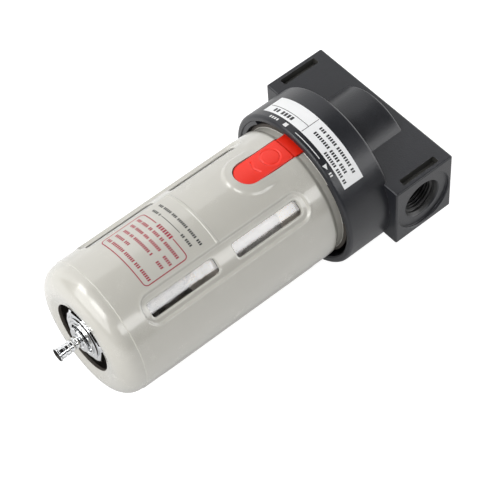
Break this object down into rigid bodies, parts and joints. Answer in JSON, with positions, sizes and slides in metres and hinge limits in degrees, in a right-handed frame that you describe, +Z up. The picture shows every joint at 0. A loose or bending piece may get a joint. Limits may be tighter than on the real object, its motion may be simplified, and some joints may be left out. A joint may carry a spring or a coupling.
{
  "type": "compressed air filter",
  "caption": "In-line compressed air filter: a black port block with a round collar, a guarded clear bowl on a bayonet, a red lock button and a push drain at the bottom.",
  "frame": {"origin": "centre of the port block's flat top face", "axes": "+Z up, along the bowl's axis and away from the bowl; +X towards the outlet port; -Y is the front, with the lock button and the labels"},
  "size_m": [0.081, 0.0727, 0.1734],
  "materials": {
    "black_paint": "satin black paint on a die casting",
    "guard_paint": "warm light grey satin-gloss paint",
    "red_plastic": "satin moulded red plastic",
    "sticker": "white printed film",
    "clear_plastic": "clear polycarbonate",
    "pale_plastic": "pale moulded plastic",
    "porous_plastic": "porous white polyethylene",
    "black_rubber": "matt",
    "chrome": "bright nickel or chrome plate",
    "steel": "plain steel",
    "brass": "turned brass"
  },
  "bodies": {
    "head": {"head_body": "black_paint", "ring_label": "sticker", "deflector": "pale_plastic", "element_top_gasket": "black_rubber", "filter_element": "porous_plastic", "element_bottom_gasket": "black_rubber", "baffle": "pale_plastic", "centre_stud": "steel", "baffle_nut": "brass"},
    "bowl_unit": {"bowl": "clear_plastic", "bowl_o_ring": "black_rubber", "bowl_guard": "guard_paint", "lock_spring": "steel", "drain_body": "chrome", "drain_gasket": "black_rubber", "drain_washer": "chrome", "drain_nut": "chrome", "drain_spring": "steel"},
    "button": {"lock_button": "red_plastic"},
    "stem": {"drain_stem": "chrome", "drain_collar": "chrome", "drain_seal": "black_rubber"}
  },
  "joints": [
    {"name": "bowl_turn", "type": "hinge", "parent": "head", "child": "bowl_unit", "pos_m": [0, 0, -0.045], "axis": [0, 0, 1], "range_deg": [0, 40]},
    {"name": "lock_button_press", "type": "slide", "parent": "bowl_unit", "child": "button", "axis": [0, 1, 0], "range_m": [0, 0.001], "stiffness_N_per_m": 2000, "deforming": ["lock_spring"]},
    {"name": "drain_stem_push", "type": "slide", "parent": "bowl_unit", "child": "stem", "axis": [0, 0, 1], "range_m": [0, 0.002], "stiffness_N_per_m": 2000, "deforming": ["drain_spring"]}
  ]
}
